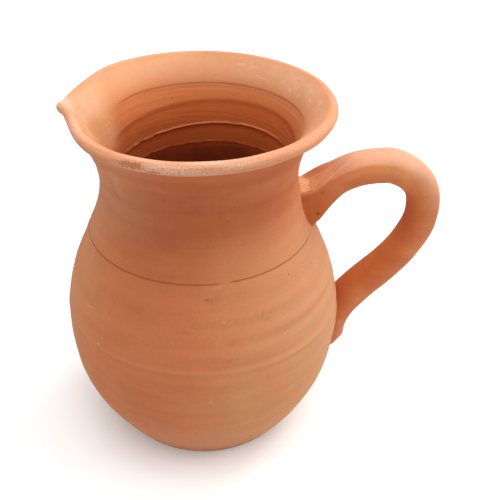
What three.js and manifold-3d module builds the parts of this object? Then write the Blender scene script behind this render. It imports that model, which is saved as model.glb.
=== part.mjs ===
// Terracotta water jug: a thrown belly and a thrown neck, luted together at the shoulder,
// with a spout pinched from the lip and a pulled strap handle luted to the neck and belly.
// Millimetres, +Z up. The origin is the centre of the foot. The handle points along +X.
import * as THREE from 'three';
import { mergeVertices } from 'three/addons/utils/BufferGeometryUtils.js';
import Module from 'manifold-3d';

const wasm = await Module();
wasm.setup();

// Overall sizes
const TOTAL_HEIGHT = 220;
const FOOT_RADIUS = 60.6;
const BELLY_RADIUS = 85.9;
const BELLY_HEIGHT = 78;
const NECK_RADIUS = 57.5;
const NECK_HEIGHT = 178;
const RIM_RADIUS = 77.2;
const LIP_THICKNESS = 6.7;

// Walls
const FLOOR_THICKNESS = 9;
const FLOOR_FILLET = 11;
const FOOT_BEVEL = 1.6;
const BELLY_WALL = 7;
const NECK_WALL = 6.5;

// How full the outline is: lengths of the tangents at the ends of its three curves
const FOOT_FLARE_DEG = 58.6;
const FOOT_FULLNESS = 41;
const BELLY_FULLNESS_BELOW = 29;
const BELLY_FULLNESS_ABOVE = 46.4;
const NECK_FULLNESS_BELOW = 32.5;
const NECK_FULLNESS_ABOVE = 11;
const FLARE_SLOPE_DEG = 40;
const FLARE_FULLNESS = 15.8;

// Ledges that the potter's fingers left inside the neck: the wall is set back under each one
// by the depth, and comes forward again over the fade. Each lies so far below the narrowest part
// of the neck, and is tilted, highest at its azimuth.
const LEDGES = [
  { below: 0.4, tilt: 5.8, azimuth: 27 },
  { below: 12.6, tilt: 4.6, azimuth: 24 },
];
const LEDGE_DEPTH = 1.3;
const LEDGE_FADE = 9;
const LEDGE_DROP = 0.6;

// Stepped joint between the two thrown sections, and the clay that bonds it
const JOINT_HEIGHT = 143;
const JOINT_STEP = 3.4;
const LUTING_RING_HEIGHT = 5;
const LUTING_RING_BULGE = 0.9;

// Spout: a finger pushed the lip in on both sides of it, harder on the front side, and its tip
// was drawn out between them and thinned. Offsets and spreads are in degrees round the rim.
const SPOUT_AZIMUTH_DEG = 181;
const SPOUT_BACK_PINCH = { offset: -26, depth: 3.7, spread: 17 };
const SPOUT_FRONT_PINCH = { offset: 13, depth: 5.7, spread: 27 };
// In front of the spout the flare stands steeper, by this angle at most
const SPOUT_FLANK = { offset: 24, steeper: 25, spread: 17 };
const SPOUT_TIP_REACH = 4.7;
const SPOUT_TIP_RISE = 1.1;
const SPOUT_TIP_SPREAD_DEG = 8;
const SPOUT_TIP_THINNING = 0.45;
const SPOUT_CHANNEL_DEPTH = 2.4;
const SPOUT_CHANNEL_SPREAD_DEG = 9;

// Handle: heights where its centre line meets the wall, and its reach from the jug's axis
const HANDLE_ROOT_HEIGHT = 152.5;
const HANDLE_ROOT_ANGLE_DEG = 47;
const HANDLE_ROOT_FULLNESS = 26;
const HANDLE_CROWN_RADIUS = 111;
const HANDLE_CROWN_HEIGHT = 175.4;
const HANDLE_CROWN_FULLNESS = [18, 3];
const HANDLE_REACH = 136.4;
const HANDLE_REACH_HEIGHT = 146.2;
const HANDLE_REACH_FULLNESS = [23, 41];
const HANDLE_END_HEIGHT = 57.6;
const HANDLE_END_FULLNESS = 31.3;
const HANDLE_HEEL_ABOVE_END = 26;
const HANDLE_TAIL_LENGTH = 21;
// Strap sections from the upper root to the tail: share of the length, width and thickness.
// The heel is where the strap lands on the belly, before its tail narrows.
const STRAP_ROOT = { width: 32, thickness: 26 };
const STRAP_HEEL = { width: 32, thickness: 19.5 };
const STRAP_SECTIONS = [
  [0, STRAP_ROOT.width, STRAP_ROOT.thickness],
  [0.11, 24.5, 18.2],
  [0.36, 21.5, 20],
  [0.63, 24.5, 18],
  [0.8, 27.5, 17.5],
  [0.92, STRAP_HEEL.width, STRAP_HEEL.thickness],
  [0.97, 24, 9.5],
  [1, 18, 6],
];
// The last stretch of the tail closes to a round tongue
const TONGUE_LENGTH = 11;
const TONGUE_TURN_DEG = 80;
// Below 1 the strap's oval section fills out towards a rounded oblong
const STRAP_ROUNDNESS = 0.88;
// Hollow that the thumb pressed into the top of the root: its place and spread along the strap,
// and across it as shares of half the width, towards the jug's back
const THUMB_HOLLOW = { depth: 3, middle: 0.09, spread: 0.07, offCentre: 0.2, width: 0.5 };

// Soft clay round the two roots of the handle
const LUTING_BED = 1.4;
const LUTING_EDGE = 0.7;
const COLLAR_HEIGHT = 7;
const COLLAR_SPREAD = 4;
const PAD_HEIGHT = 5;
const PAD_SPREAD = 4;
// A mound of soft clay falls faster towards its edge as this rises. Its middle ring is tiny.
const MOUND_FALL = 1.2;
const MOUND_CENTRE = 0.02;

// Gap left between pieces that lie against each other
const CLEARANCE = 0.3;

// Fineness of the facets: sections round the jug, and steps along each stretch of an outline
const BODY_SEGMENTS = 60;
const NECK_SEGMENTS = 76;
const FOOT_STEPS = 8;
const SHOULDER_STEPS = 6;
const FLARE_STEPS = 7;
const LIP_STEPS = 7;
const FILLET_STEPS = 5;
const STRAP_STEPS = 38;
const TONGUE_STEPS = 4;
const STRAP_SIDES = 18;
const MOUND_SPOKES = 32;
const MOUND_STEPS = 6;
// How much closer together the neck's sections lie at the spout than at the handle
const SPOUT_CROWDING = 0.62;
// Steps of the finer curves that are only measured or cut with
const MEASURE_STEPS = 20;
const WELD_TOLERANCE = 1e-4;

const DEG = Math.PI / 180;
const LIP_RADIUS = LIP_THICKNESS / 2;
const LIP_CENTRE_RADIUS = RIM_RADIUS - LIP_RADIUS;
const LIP_CENTRE_HEIGHT = TOTAL_HEIGHT - LIP_RADIUS;

// Small helpers

const point = (r, z) => new THREE.Vector2(r, z);
const polar = (length, degrees) => point(length * Math.cos(degrees * DEG), length * Math.sin(degrees * DEG));
const bump = (offset, spread) => Math.exp(-((offset / spread) ** 2));
const mix = THREE.MathUtils.lerp;

function bezier(start, leave, arrive, end) {
  return new THREE.CubicBezierCurve(start, leave, arrive, end);
}

// Steps from one number to another, both ends included
function spread(from, to, count) {
  return Array.from({ length: count + 1 }, (_, i) => mix(from, to, i / count));
}

// Value at x in rows of [x, value, ...] that rise in x
function lookUp(rows, x, column = 1) {
  const after = rows.findIndex((row) => row[0] >= x);
  if (after <= 0) return rows[after === 0 ? 0 : rows.length - 1][column];
  const [low, high] = [rows[after - 1], rows[after]];
  return mix(low[column], high[column], (x - low[0]) / (high[0] - low[0]));
}

// Point of a curve moved square to it, to the left of its direction
function offsetPoint(curve, t, distance) {
  const along = curve.getTangent(t);
  return curve.getPoint(t).add(point(-along.y, along.x).multiplyScalar(distance));
}

function toSolid(geometry) {
  const bare = geometry.clone();
  bare.deleteAttribute('normal');
  bare.deleteAttribute('uv');
  const welded = mergeVertices(bare, WELD_TOLERANCE);
  return new wasm.Manifold(new wasm.Mesh({
    numProp: 3,
    vertProperties: new Float32Array(welded.attributes.position.array),
    triVerts: new Uint32Array(welded.index.array),
  }));
}

function toGeometry(solid) {
  const mesh = solid.getMesh();
  const geometry = new THREE.BufferGeometry();
  geometry.setAttribute('position', new THREE.BufferAttribute(mesh.vertProperties, 3));
  geometry.setIndex(new THREE.BufferAttribute(mesh.triVerts, 1));
  return geometry;
}

// Closed surface through equal rings of points, joined in a loop or capped at both ends
function loft(rings, closed) {
  const size = rings[0].length;
  const count = rings.length;
  const positions = rings.flat().flatMap((p) => [p.x, p.y, p.z]);
  const index = [];
  for (let i = 0; i < (closed ? count : count - 1); i += 1) {
    for (let j = 0; j < size; j += 1) {
      const a = i * size + j;
      const b = i * size + ((j + 1) % size);
      const c = ((i + 1) % count) * size + j;
      const d = ((i + 1) % count) * size + ((j + 1) % size);
      index.push(a, b, d, a, d, c);
    }
  }
  if (!closed) {
    const last = (count - 1) * size;
    for (let j = 1; j < size - 1; j += 1) {
      index.push(0, j + 1, j);
      index.push(last, last + j, last + j + 1);
    }
  }
  const geometry = new THREE.BufferGeometry();
  geometry.setAttribute('position', new THREE.Float32BufferAttribute(positions, 3));
  geometry.setIndex(index);
  return geometry;
}

// Solid of revolution about Z from an outline of (radius, height) points
function revolve(outline, segments) {
  const geometry = new THREE.LatheGeometry(outline, segments);
  geometry.rotateX(Math.PI / 2);
  return geometry;
}

// Outline of the outside: foot to belly, belly to neck, neck to lip

const footCurve = bezier(
  point(FOOT_RADIUS, 0),
  point(FOOT_RADIUS, 0).add(polar(FOOT_FULLNESS, FOOT_FLARE_DEG)),
  point(BELLY_RADIUS, BELLY_HEIGHT - BELLY_FULLNESS_BELOW),
  point(BELLY_RADIUS, BELLY_HEIGHT),
);
const shoulderCurve = bezier(
  point(BELLY_RADIUS, BELLY_HEIGHT),
  point(BELLY_RADIUS, BELLY_HEIGHT + BELLY_FULLNESS_ABOVE),
  point(NECK_RADIUS, NECK_HEIGHT - NECK_FULLNESS_BELOW),
  point(NECK_RADIUS, NECK_HEIGHT),
);

// Share of a rising curve at which it reaches a height
function shareAtHeight(curve, height) {
  let [low, high] = [0, 1];
  for (let i = 0; i < 40; i += 1) {
    const middle = (low + high) / 2;
    if (curve.getPoint(middle).y < height) low = middle;
    else high = middle;
  }
  return (low + high) / 2;
}

// Radius and slope of the outside at a height below the flare
function wallAt(height) {
  const curve = height < BELLY_HEIGHT ? footCurve : shoulderCurve;
  const t = shareAtHeight(curve, height);
  return { radius: curve.getPoint(t).x, along: curve.getTangent(t) };
}

const jointShare = shareAtHeight(shoulderCurve, JOINT_HEIGHT);
const jointRadius = wallAt(JOINT_HEIGHT).radius;

// Lower body: foot, floor and belly up to the outer step of the joint

// Curve from the inside of the wall round to the flat floor
function floorFillet(wallEdge, along) {
  const drop = (wallEdge.y - FLOOR_THICKNESS) / along.y;
  const corner = wallEdge.clone().addScaledVector(along, -drop);
  const curve = new THREE.QuadraticBezierCurve(wallEdge, corner, corner.clone().sub(point(FLOOR_FILLET, 0)));
  return spread(0, 1, FILLET_STEPS).slice(1).map((t) => curve.getPoint(t));
}

function lowerBodyOutline() {
  const outside = [
    ...spread(shareAtHeight(footCurve, FOOT_BEVEL), 1, FOOT_STEPS).map((t) => footCurve.getPoint(t)),
    ...spread(0, jointShare, SHOULDER_STEPS).slice(1).map((t) => shoulderCurve.getPoint(t)),
  ];
  const top = JOINT_HEIGHT - CLEARANCE / 2;
  const seat = top - LUTING_RING_HEIGHT / 2;
  outside[outside.length - 1].set(jointRadius, top);
  const filletTop = shareAtHeight(footCurve, FLOOR_THICKNESS + FLOOR_FILLET);
  const inside = [
    ...spread(jointShare, 0, SHOULDER_STEPS).slice(1)
      .map((t) => offsetPoint(shoulderCurve, t, BELLY_WALL)),
    ...spread(1, filletTop, FOOT_STEPS).slice(1).map((t) => offsetPoint(footCurve, t, BELLY_WALL)),
  ];
  return [
    point(0, 0),
    point(FOOT_RADIUS - FOOT_BEVEL, 0),
    ...outside,
    point(jointRadius - JOINT_STEP, top),
    point(jointRadius - JOINT_STEP, seat),
    point(jointRadius - BELLY_WALL, seat),
    ...inside,
    ...floorFillet(inside[inside.length - 1], footCurve.getTangent(filletTop)),
    point(0, FLOOR_THICKNESS),
  ];
}

// Shoulder luting ring: the roll of clay in the inner half of the stepped joint

function lutingRingOutline() {
  const outer = jointRadius - JOINT_STEP - CLEARANCE;
  const inner = jointRadius - BELLY_WALL;
  const low = JOINT_HEIGHT + CLEARANCE / 2 - LUTING_RING_HEIGHT / 2;
  const high = JOINT_HEIGHT - CLEARANCE / 2 + LUTING_RING_HEIGHT / 2;
  const middle = (low + high) / 2;
  return [
    point(outer, low),
    point(outer, high),
    point(inner, high),
    point(inner - LUTING_RING_BULGE, mix(middle, high, 0.5)),
    point(inner - LUTING_RING_BULGE, mix(middle, low, 0.5)),
    point(inner, low),
    point(outer, low),
  ];
}

// Upper body: shoulder, neck, flare, lip and spout

// Where the lip's centre lies at an azimuth, and how the spout changes the section there
function lipAt(azimuth) {
  const turn = azimuth - SPOUT_AZIMUTH_DEG;
  const pushedIn = [SPOUT_BACK_PINCH, SPOUT_FRONT_PINCH]
    .reduce((sum, pinch) => sum + pinch.depth * bump(turn - pinch.offset, pinch.spread), 0);
  const tip = bump(turn, SPOUT_TIP_SPREAD_DEG);
  return {
    radius: LIP_CENTRE_RADIUS - pushedIn + SPOUT_TIP_REACH * tip,
    height: LIP_CENTRE_HEIGHT + SPOUT_TIP_RISE * tip,
    roundness: LIP_RADIUS * (1 - SPOUT_TIP_THINNING * tip),
    channel: SPOUT_CHANNEL_DEPTH * bump(turn, SPOUT_CHANNEL_SPREAD_DEG),
    slope: FLARE_SLOPE_DEG + SPOUT_FLANK.steeper * bump(turn - SPOUT_FLANK.offset, SPOUT_FLANK.spread),
  };
}

function flareCurve(lip) {
  const end = point(lip.radius, lip.height - lip.roundness);
  return bezier(
    point(NECK_RADIUS, NECK_HEIGHT),
    point(NECK_RADIUS + lip.channel, NECK_HEIGHT + NECK_FULLNESS_ABOVE),
    end.clone().sub(polar(FLARE_FULLNESS, lip.slope)).add(point(lip.channel, -lip.channel)),
    end,
  );
}

// Heights of the finger ledges at an azimuth
function ledgesAt(azimuth) {
  return LEDGES.map(({ below, tilt, azimuth: highest }) => (
    NECK_HEIGHT - below + tilt * Math.cos((azimuth - highest) * DEG)
  ));
}

// How far ledges at those heights set the inside of the neck back at a height
function ledgeRelief(height, ledges) {
  const above = ledges.filter((ledge) => height < ledge);
  if (above.length === 0) return 0;
  return LEDGE_DEPTH * Math.exp((height - Math.min(...above)) / LEDGE_FADE);
}

// Inside of the upper body from the lip down, as [height, radius] rows that rise in height
function insideRows(flare, lipWall) {
  const rows = [
    ...spread(jointShare, 1, MEASURE_STEPS)
      .map((t) => offsetPoint(shoulderCurve, t, mix(BELLY_WALL, NECK_WALL, t))),
    ...spread(0, 1, MEASURE_STEPS).slice(1)
      .map((t) => offsetPoint(flare, t, mix(NECK_WALL, lipWall, t))),
  ];
  return rows.map((p) => [p.y, p.x]);
}

function upperBodySection(azimuth) {
  const lip = lipAt(azimuth);
  const flare = flareCurve(lip);
  const lipWall = lip.roundness * (1 + Math.cos(lip.slope * DEG));
  const rows = insideRows(flare, lipWall);
  const bottom = JOINT_HEIGHT + CLEARANCE / 2;
  const seat = bottom + LUTING_RING_HEIGHT / 2;
  const outside = spread(jointShare, 1, SHOULDER_STEPS).map((t) => shoulderCurve.getPoint(t));
  outside[0].set(jointRadius, bottom);
  const ledges = ledgesAt(azimuth);
  const [ledge, lowLedge] = ledges;
  const insideTop = lip.height + lip.roundness * Math.cos(lip.slope * DEG);
  const insideHeights = [
    ...spread(insideTop, ledge, FLARE_STEPS).slice(1),
    ...spread(ledge - LEDGE_DROP, lowLedge, 2),
    ...spread(lowLedge - LEDGE_DROP, seat, 3).slice(0, 3),
  ];
  return [
    ...outside,
    ...spread(0, 1, FLARE_STEPS).slice(1).map((t) => flare.getPoint(t)),
    ...spread(-90, 90 + lip.slope, LIP_STEPS).slice(1)
      .map((angle) => point(lip.radius, lip.height).add(polar(lip.roundness, angle))),
    ...insideHeights.map((z) => point(lookUp(rows, z) + ledgeRelief(z, ledges), z)),
    point(jointRadius - BELLY_WALL, seat),
    point(jointRadius - JOINT_STEP, seat),
    point(jointRadius - JOINT_STEP, bottom),
  ];
}

// Sections lie closer together at the spout and further apart at the handle
function upperBodyAzimuth(step) {
  const even = (step / NECK_SEGMENTS - 0.5) * 2 * Math.PI;
  return SPOUT_AZIMUTH_DEG + (even - SPOUT_CROWDING * Math.sin(even)) / DEG;
}

function upperBody() {
  const rings = Array.from({ length: NECK_SEGMENTS }, (_, step) => {
    const azimuth = upperBodyAzimuth(step);
    const [c, s] = [Math.cos(azimuth * DEG), Math.sin(azimuth * DEG)];
    return upperBodySection(azimuth).map((p) => new THREE.Vector3(p.x * c, p.x * s, p.y));
  });
  return loft(rings.reverse(), true);
}

// Handle: a pulled strap along a curve in the XZ plane

function handleCentre() {
  const root = point(wallAt(HANDLE_ROOT_HEIGHT).radius, HANDLE_ROOT_HEIGHT);
  const crown = point(HANDLE_CROWN_RADIUS, HANDLE_CROWN_HEIGHT);
  const reach = point(HANDLE_REACH, HANDLE_REACH_HEIGHT);
  const wall = wallAt(HANDLE_END_HEIGHT);
  const end = point(wall.radius, HANDLE_END_HEIGHT);
  const tail = end.clone().addScaledVector(wall.along, -HANDLE_TAIL_LENGTH);
  const path = new THREE.CurvePath();
  path.add(bezier(
    root,
    root.clone().add(polar(HANDLE_ROOT_FULLNESS, HANDLE_ROOT_ANGLE_DEG)),
    crown.clone().sub(point(HANDLE_CROWN_FULLNESS[0], 0)),
    crown,
  ));
  path.add(bezier(
    crown,
    crown.clone().add(point(HANDLE_CROWN_FULLNESS[1], 0)),
    reach.clone().add(point(0, HANDLE_REACH_FULLNESS[0])),
    reach,
  ));
  path.add(bezier(
    reach,
    reach.clone().sub(point(0, HANDLE_REACH_FULLNESS[1])),
    end.clone().addScaledVector(wall.along, HANDLE_END_FULLNESS),
    end,
  ));
  path.add(new THREE.LineCurve(end, tail));
  return path;
}

// The sections start inside the neck wall, where the cut along the wall ends them. Each has its
// share of the length, and the part of its size that the closing tongue leaves it.
function strapSteps(length) {
  const tongue = 1 - TONGUE_LENGTH / length;
  return [
    ...spread(-NECK_WALL / length, tongue, STRAP_STEPS).map((share) => ({ share, left: 1 })),
    ...spread(0, TONGUE_TURN_DEG, TONGUE_STEPS).slice(1).map((angle) => ({
      share: mix(tongue, 1, Math.sin(angle * DEG)),
      left: Math.cos(angle * DEG),
    })),
  ];
}

function strap(extra) {
  const centre = handleCentre();
  const rings = strapSteps(centre.getLength()).map(({ share, left }) => {
    const t = Math.max(share, 0);
    const along = centre.getTangentAt(t);
    const middle = centre.getPointAt(t).addScaledVector(along, (share - t) * centre.getLength());
    const width = left * lookUp(STRAP_SECTIONS, t, 1) / 2 + extra;
    const thickness = left * lookUp(STRAP_SECTIONS, t, 2) / 2 + extra;
    return strapRing(middle, along, width, thickness, t);
  });
  return loft(rings, false);
}

const fuller = (share) => Math.sign(share) * Math.abs(share) ** STRAP_ROUNDNESS;

function strapRing(middle, along, width, thickness, t) {
  const hollow = THUMB_HOLLOW.depth * bump(t - THUMB_HOLLOW.middle, THUMB_HOLLOW.spread);
  return Array.from({ length: STRAP_SIDES }, (_, side) => {
    const angle = side * 2 * Math.PI / STRAP_SIDES;
    const across = width * fuller(Math.cos(angle));
    const rise = fuller(Math.sin(angle));
    const offMiddle = across / width - THUMB_HOLLOW.offCentre;
    const dip = rise > 0 ? hollow * bump(offMiddle, THUMB_HOLLOW.width) : 0;
    const out = thickness * rise - dip;
    return new THREE.Vector3(middle.x - along.y * out, across, middle.y + along.x * out);
  });
}

// Luting clay: a low mound on the wall that thins to its edge, bedded under the handle

// Outside of the walls as a solid, moved out by a distance, to cut what rests on it
function wallEnvelope(distance) {
  const outline = [
    ...spread(0, 1, MEASURE_STEPS).map((t) => offsetPoint(footCurve, t, -distance)),
    ...spread(0, 1, MEASURE_STEPS).slice(1).map((t) => offsetPoint(shoulderCurve, t, -distance)),
  ];
  const first = outline[0];
  const last = outline[outline.length - 1];
  return toSolid(revolve([point(0, first.y), ...outline, point(0, last.y)], BODY_SEGMENTS * 2));
}

// Mound on the wall at azimuth zero, an ellipse of the given half sizes round a height
function mound(height, halfWidth, halfLength, rise) {
  const onWall = (share, spoke, lift) => {
    const angle = spoke * 2 * Math.PI / MOUND_SPOKES;
    const z = height + share * halfLength * Math.sin(angle);
    const { radius, along } = wallAt(z);
    const turn = share * halfWidth * Math.cos(angle) / radius;
    const out = radius + along.y * lift;
    return new THREE.Vector3(out * Math.cos(turn), out * Math.sin(turn), z - along.x * lift);
  };
  const spokes = Array.from({ length: MOUND_SPOKES }, (_, spoke) => spoke);
  const ring = (share, lift) => spokes.map((spoke) => onWall(share, spoke, lift));
  const fall = (share) => Math.cos(share * Math.PI / 2) ** MOUND_FALL;
  const liftAt = (share) => CLEARANCE + LUTING_EDGE + (rise - LUTING_EDGE) * fall(share);
  const bottom = spread(MOUND_CENTRE, 1, 3).map((share) => ring(share, CLEARANCE));
  const top = spread(1, MOUND_CENTRE, MOUND_STEPS).map((share) => ring(share, liftAt(share)));
  return toSolid(loft([...bottom, ...top], false));
}

// Half the length that the strap's end covers on the belly, and the height of its middle
function strapEndOnWall() {
  const tailHeight = HANDLE_END_HEIGHT - HANDLE_TAIL_LENGTH;
  const heelHeight = HANDLE_END_HEIGHT + HANDLE_HEEL_ABOVE_END;
  return { half: (heelHeight - tailHeight) / 2, middle: (heelHeight + tailHeight) / 2 };
}

const handleBody = toSolid(strap(0)).subtract(wallEnvelope(2 * CLEARANCE + LUTING_BED));
const handleSocket = toSolid(strap(CLEARANCE)).subtract(wallEnvelope(CLEARANCE + LUTING_BED));
const upperCollar = mound(
  HANDLE_ROOT_HEIGHT,
  STRAP_ROOT.width / 2 + COLLAR_SPREAD,
  STRAP_ROOT.thickness / 2 + COLLAR_SPREAD,
  COLLAR_HEIGHT,
).subtract(handleSocket);
const strapEnd = strapEndOnWall();
const lowerPad = mound(
  strapEnd.middle,
  STRAP_HEEL.width / 2 + PAD_SPREAD,
  strapEnd.half + PAD_SPREAD,
  PAD_HEIGHT,
).subtract(handleSocket);

// Fired clay: the same body everywhere, a little redder inside the neck joint and paler where luted
const clay = (color, roughness) => new THREE.MeshStandardMaterial({ color, roughness, metalness: 0 });

function piece(name, geometry, material) {
  const mesh = new THREE.Mesh(geometry, material);
  mesh.name = name;
  return mesh;
}

const jug = new THREE.Group();
jug.add(
  piece('lower_body', revolve(lowerBodyOutline(), BODY_SEGMENTS), clay('#c1744a', 0.85)),
  piece('shoulder_luting_ring', revolve(lutingRingOutline(), BODY_SEGMENTS), clay('#a5512f', 0.9)),
  piece('upper_body', upperBody(), clay('#bf6e48', 0.85)),
  piece('handle', toGeometry(handleBody), clay('#d08a5f', 0.85)),
  piece('upper_luting_collar', toGeometry(upperCollar), clay('#dba27c', 0.92)),
  piece('lower_luting_pad', toGeometry(lowerPad), clay('#cd8a60', 0.92)),
);

export default jug;
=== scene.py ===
# Looks of a terracotta water jug: two thrown sections, a pinched spout and a pulled strap handle.
# Sizes are in millimetres and angles in degrees, as on the jug's drawing. MM turns them into metres.
import math

import bpy
import numpy as np
from mathutils import Matrix, Vector


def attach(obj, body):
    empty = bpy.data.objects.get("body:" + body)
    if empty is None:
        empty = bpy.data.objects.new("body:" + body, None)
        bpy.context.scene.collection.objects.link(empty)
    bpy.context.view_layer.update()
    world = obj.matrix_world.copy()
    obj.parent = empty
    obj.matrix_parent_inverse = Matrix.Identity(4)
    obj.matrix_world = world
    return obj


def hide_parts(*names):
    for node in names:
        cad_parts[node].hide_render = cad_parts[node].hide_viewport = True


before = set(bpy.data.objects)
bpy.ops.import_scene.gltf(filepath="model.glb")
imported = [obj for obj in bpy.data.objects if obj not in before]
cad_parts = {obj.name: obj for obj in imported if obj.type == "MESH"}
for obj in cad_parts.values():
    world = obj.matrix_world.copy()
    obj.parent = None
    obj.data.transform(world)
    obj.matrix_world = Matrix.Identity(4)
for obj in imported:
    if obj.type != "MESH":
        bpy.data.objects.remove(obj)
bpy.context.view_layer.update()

MM = 0.001

# Overall sizes and walls
TOTAL_HEIGHT = 220
FOOT_RADIUS = 60.6
BELLY_RADIUS = 85.9
BELLY_HEIGHT = 78
NECK_RADIUS = 57.5
NECK_HEIGHT = 178
RIM_RADIUS = 77.2
LIP_THICKNESS = 6.7
FLOOR_THICKNESS = 9
FLOOR_FILLET = 11
FOOT_BEVEL = 1.6
BELLY_WALL = 7
NECK_WALL = 6.5

# Fullness of the outline: lengths of the tangents at its curves' ends
FOOT_FLARE = 58.6
FOOT_FULLNESS = 41
BELLY_FULLNESS_BELOW = 29
BELLY_FULLNESS_ABOVE = 46.4
NECK_FULLNESS_BELOW = 32.5
NECK_FULLNESS_ABOVE = 11
FLARE_SLOPE = 40
FLARE_FULLNESS = 15.8

# Stepped joint between the thrown sections
JOINT_HEIGHT = 143
JOINT_STEP = 3.4
JOINT_GAP = 0.3
JOINT_CHAMFER = 0.1
JOINT_EDGE = 0.02
RING_HEIGHT = 5
RING_BULGE = 0.9
# Where the shoulder line is smeared over: azimuth and reach to either side
JOINT_SMEARS = [(279.8, 3.6), (0, 21)]

# Spout: the lip is pushed in on both sides and drawn out. Offsets are from its azimuth.
SPOUT_AZIMUTH = 181
SPOUT_PINCHES = [{"offset": -26, "depth": 3.7, "spread": 17}, {"offset": 13, "depth": 5.7, "spread": 27}]
SPOUT_FLANK = {"offset": 24, "slope": 25, "spread": 17, "thinning": 0.15}
SPOUT_TIP_REACH = 2.9
SPOUT_TIP_RISE = 1.1
SPOUT_TIP_SPREAD = 8
SPOUT_TIP_THINNING = 0.45
SPOUT_CHANNEL_DEPTH = 2.4
SPOUT_CHANNEL_SPREAD = 9
# The nub at the very tip, and the crease that runs down from it inside
SPOUT_NUB = {"offset": 1.5, "reach": 1.1, "swelling": 1.2, "spread": 3.3}
SPOUT_CREASE = {"azimuth": 177.5, "depth": 0.5, "spread": 2.5}
# A short slanting fold in the neck, below the spout's near side
SPOUT_FOLD = {"azimuth": 219, "height": 183.5, "fall": 0.5, "length": 4.5, "depth": 0.5}

# Handle: heights where its centre line meets the wall, and its reach from the axis
HANDLE_ROOT_HEIGHT = 152.5
HANDLE_ROOT_ANGLE = 47
HANDLE_ROOT_FULLNESS = 26
HANDLE_CROWN = (111, 175.4)
HANDLE_CROWN_FULLNESS = (18, 3)
HANDLE_REACH = (136.4, 146.2)
HANDLE_REACH_FULLNESS = (23, 41)
HANDLE_END_HEIGHT = 57.6
HANDLE_END_FULLNESS = 31.3
HANDLE_TAIL_LENGTH = 21
# Share of the strap's length, its width and its thickness
STRAP_SECTIONS = [
    (0, 32, 26),
    (0.11, 24.5, 18.2),
    (0.36, 21.5, 20),
    (0.63, 24.5, 18),
    (0.8, 27.5, 17.5),
    (0.92, 32, 19.5),
    (0.97, 24, 9.5),
    (1, 18, 6),
]
STRAP_ROUNDNESS = 0.88
CROWN_SQUARER = 0.1
# The thumb's print in the root: shares of the strap's length and, across it, of half its width. Its
# near edge is a raised ridge.
THUMB_HOLLOW = {"depth": 4.2, "middle": 0.066, "spread": 0.06, "far": 0.72}
HOLLOW_EDGE = [(0.02, -0.7), (0.055, -0.83), (0.08, -0.79), (0.11, -0.65), (0.13, -0.5), (0.165, -0.15)]
HOLLOW_RIDGE = 0.6
# Where the strap's pale top, a painted highlight, ends: shares of its length, and of half its thickness
CROWN_EDGE = [(0.1, 0.64), (0.2, 0.66), (0.25, 0.51), (0.3, 0.36), (0.5, 0.1)]
# Pale scuffs: share of the strap's length, turn round it, their two spreads, and strength
HANDLE_SCUFFS = [(0.6, 232, 0.006, 7, 0.7), (0.67, 228, 0.01, 5, 0.6), (0.86, 185, 0.008, 6, 0.5)]
# Dark spots beside the root
HANDLE_STAINS = [(0.063, 199, 0.0028, 3, 0.5), (0.017, 163, 0.005, 7, 0.7)]
# Shares of the strap's length where its tones start, are full and, for some, fade and end
PEACH_SPAN = (0.05, 0.16, 0.3, 0.46)
OCHRE_SPAN = (0.1, 0.16, 0.26, 0.36)
INNER_SPAN = (0.3, 0.5)
OUTER_SPAN = (0.3, 0.45)
TAIL_SPAN = (0.84, 0.93)

# Where the strap starts to close to a tongue
TONGUE_START = 0.955
# How far pressed clay sinks into what it lies on
LUTING_SINK = 0.5

# The two smears of luting clay: a height inside the strap's end, how far its edge is looked for, and
# the side where they are thicker, up (1) or down (-1), with the sines where that starts and is full.
# The rest are pairs: the plain value and what the thicker side adds.
UPPER_COLLAR = {
    "height": HANDLE_ROOT_HEIGHT, "reach": 40, "thicker": (1, 0.62, 0.82),
    "spread": (1.6, 0.4), "climb": (1.6, 5.2), "fullness": (0.15, 0.35),
    # Painted highlight on the collar's top, and painted shade on its sides.
    "tones": {"tan": (0, 1), "red_tone_and_shade": (0.9, -0.9), "dust_and_painted_light": (0, 0.6)},
}
LOWER_PAD = {
    "height": HANDLE_END_HEIGHT + 2.5, "reach": 60, "thicker": (-1, 0.3, 0.9),
    "spread": (2, 1.5), "climb": (1.8, 0), "fullness": (0.15, 0),
    "tones": {"tan": (0.5, 0), "dust_and_painted_light": (0.2, 0.6)},
}

# Rings that the potter's fingers left on the belly and, the others, inside the neck: mean height,
# tilt and the azimuth where each is highest
BELLY_RING = (90.8, 3.7, 254)
GROOVE = (204.1, 1.3, 30)
BAND_EDGE = (190.4, 6.2, 42)
UPPER_LEDGE = (177.6, 5.8, 27)
LOWER_LEDGE = (165.4, 4.6, 24)
# The ledges: how far they wander, their depth, and the height of their torn edge
LEDGES = [(UPPER_LEDGE, 0.25, 1.5, 0.7), (LOWER_LEDGE, 0.2, 1.1, 0.4)]
LEDGE_FADE = 8
# Fine rings above the upper ledge, with their depth
FINE_RINGS = [((189.5, 2, 60), 0.1), ((186.6, 1.5, 60), 0.14)]
# Spacing of the belly's soft throwing rings, and where they stand out most
RING_SPACING = 8.5
RINGED_SIDE = (315, 42, 0.2)
RINGED_HEIGHT = (114, 26)

# Tones of the outside. The front is the side that the photo shows.
FRONT = 262
# The tan side, as turns from the front, and the banded part: start, full, fading and end
TAN_SIDE = (-15, 35, 110, 165)
BANDED_HEIGHTS = (50, 80, 118, 145)
# Heights over which the belly's tones end and the neck's begin
BELLY_END = (135, 165)
NECK_START = (150, 175)
# Upright bands of tone: azimuth, spread and strength
RED_BELLY = (245, 29, 0.36)
# The red neck bands are partly painted shade under the flare.
RED_NECK = [(FRONT, 38, 0.7), (312, 22, 0.4)]
# A band of painted bounce glow on the front.
PAINTED_BOUNCE_FRONT = (270, 42, 0.25)
# Painted sheen at the belly's right edge, and at the left edge.
PAINTED_SHEEN_EDGE = (338, 40)
PAINTED_SHEEN_LEFT = (196, 16, 0.2)
PALE_NECK_BAND = (222, 24, 0.22)
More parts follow.
